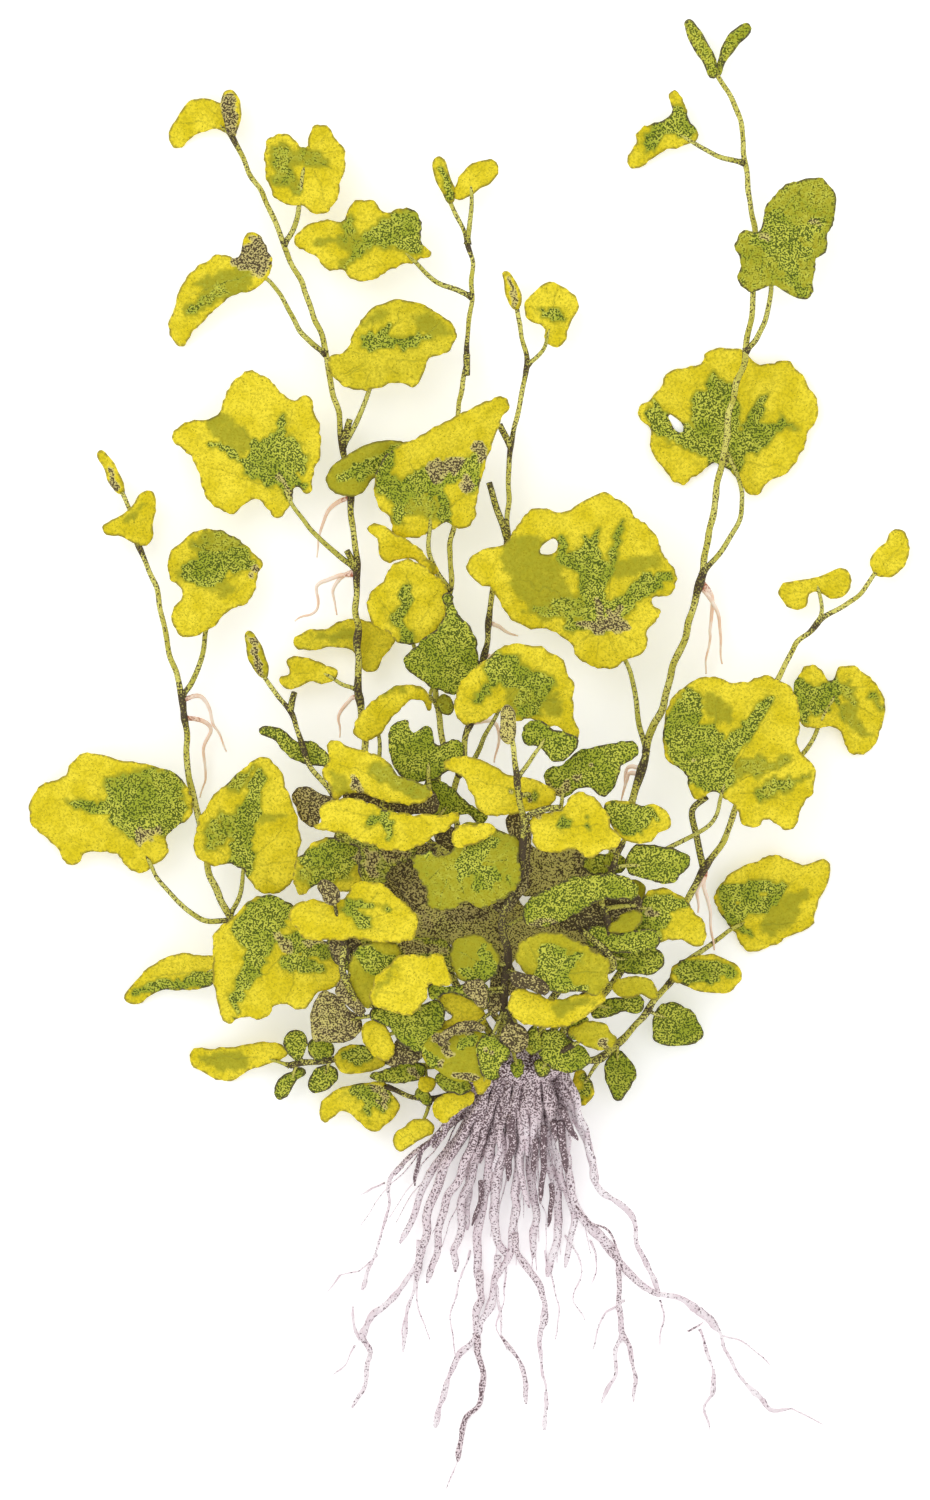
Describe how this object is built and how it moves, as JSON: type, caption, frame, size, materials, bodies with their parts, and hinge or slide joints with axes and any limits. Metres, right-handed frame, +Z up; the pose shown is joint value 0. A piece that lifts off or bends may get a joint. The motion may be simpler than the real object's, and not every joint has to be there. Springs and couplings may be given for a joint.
{
  "type": "uprooted japanese cress plant",
  "caption": "Uprooted water plant lying flat: slender stems with round stalked leaves spread from a crown, with a fan of pale roots below it.",
  "frame": {"origin": "middle of the plant's outline at the level of the surface that it lies on", "axes": "+Y along the plant from the root tips to the shoot tips, +X to the plant's right seen from above, +Z up from the surface"},
  "size_m": [0.1758, 0.2946, 0.0445],
  "materials": {
    "leaf": "matte yellow-green",
    "green_leaf": "matte green",
    "stem": "matte olive",
    "root": "matte pale lilac",
    "dark_root": "matte brown-purple"
  },
  "bodies": {
    "root": {"crown": "dark_root", "leaf_dense_arched": "leaf", "leaf_dense_centre_olive": "green_leaf", "leaf_dense_centre_top": "leaf", "leaf_dense_centre_wide": "leaf", "leaf_dense_far_right": "green_leaf", "leaf_dense_left_bright": "leaf", "leaf_dense_left_green": "green_leaf", "leaf_dense_left_olive": "leaf", "leaf_dense_left_wide": "leaf", "leaf_dense_low_bright": "leaf", "leaf_dense_low_right": "leaf", "leaf_dense_low_yellow": "leaf", "leaf_dense_right_bright": "leaf", "leaf_dense_right_green": "green_leaf", "leaf_dense_right_long": "green_leaf", "leaf_far_left_folded": "leaf", "leaf_far_right": "leaf", "leaf_left_drooping": "leaf", "leaf_left_green_upper": "green_leaf", "leaf_left_heart": "leaf", "leaf_left_inner": "leaf", "leaf_left_lobed": "leaf", "leaf_left_outer": "leaf", "leaf_left_round": "leaf", "leaf_low_left_large": "leaf", "leaf_low_right_outer": "leaf", "leaf_middle_folded": "green_leaf", "leaf_middle_green": "green_leaf", "leaf_middle_long": "leaf", "leaf_middle_oval": "leaf", "leaf_middle_small": "leaf", "leaf_middle_upright": "leaf", "leaf_right_large": "leaf", "leaf_right_largest": "leaf", "leaf_right_round": "leaf", "leaf_right_side": "leaf", "leaf_right_upper": "green_leaf", "root_centre": "root", "root_centre_right": "root", "root_left": "root", "root_left_outer": "root", "root_mat": "root", "root_right": "root", "root_right_middle": "root", "shoot_left": "stem", "shoot_middle": "stem", "shoot_right": "stem", "stem_bud_front": "stem", "stem_bud_left": "stem", "stem_far_left": "stem", "stem_far_left_base": "stem", "stem_far_right": "stem", "stem_left": "stem", "stem_low_left": "stem", "stem_low_right": "stem", "stem_middle": "stem", "stem_middle_right": "stem", "stem_right": "stem"}
  },
  "joints": []
}
